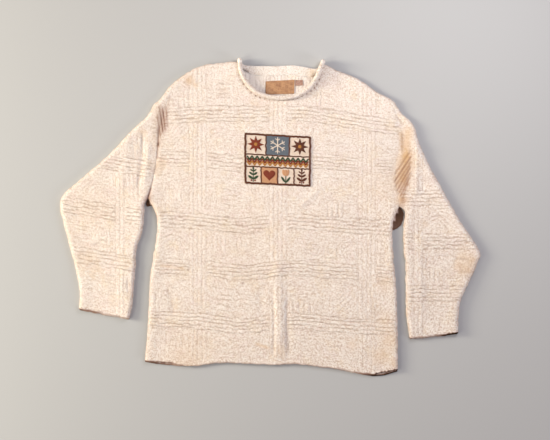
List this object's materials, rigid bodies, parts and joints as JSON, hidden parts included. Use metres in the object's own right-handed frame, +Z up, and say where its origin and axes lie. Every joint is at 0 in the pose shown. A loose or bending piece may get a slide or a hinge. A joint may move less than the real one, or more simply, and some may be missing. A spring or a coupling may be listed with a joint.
{
  "type": "christmas sweater",
  "caption": "Heavy knitted pullover laid flat on its back, with drop shoulders, a rolled crew neck, open sleeve ends and an embroidered chest patch.",
  "frame": {"origin": "middle of the laid garment's outline box, on the table it rests on", "axes": "+X across the garment to the sleeve on the viewer's right, +Y from the hem to the neck, +Z up from the table"},
  "size_m": [0.968, 0.7324, 0.0233],
  "materials": {
    "back_panel": "heavy cream slub cotton, plain knit, matt",
    "front_panel": "heavy cream slub cotton, knit in raised ridges and ribs, matt",
    "left_sleeve": "heavy cream slub cotton, knit in raised ridges and ribs, matt",
    "right_sleeve": "heavy cream slub cotton, knit in raised ridges and ribs, matt",
    "neckband": "cream cotton plain knit with a curled free edge, matt",
    "chest_patch": "cotton twill, embroidered and printed, matt",
    "neck_label": "brown woven tape, slight sheen",
    "size_tab": "dark brown woven tape, slight sheen"
  },
  "bodies": {
    "root": {"back_panel": "back_panel", "front_panel": "front_panel", "left_sleeve": "left_sleeve", "right_sleeve": "right_sleeve", "neckband": "neckband", "chest_patch": "chest_patch", "neck_label": "neck_label", "size_tab": "size_tab"}
  },
  "joints": []
}
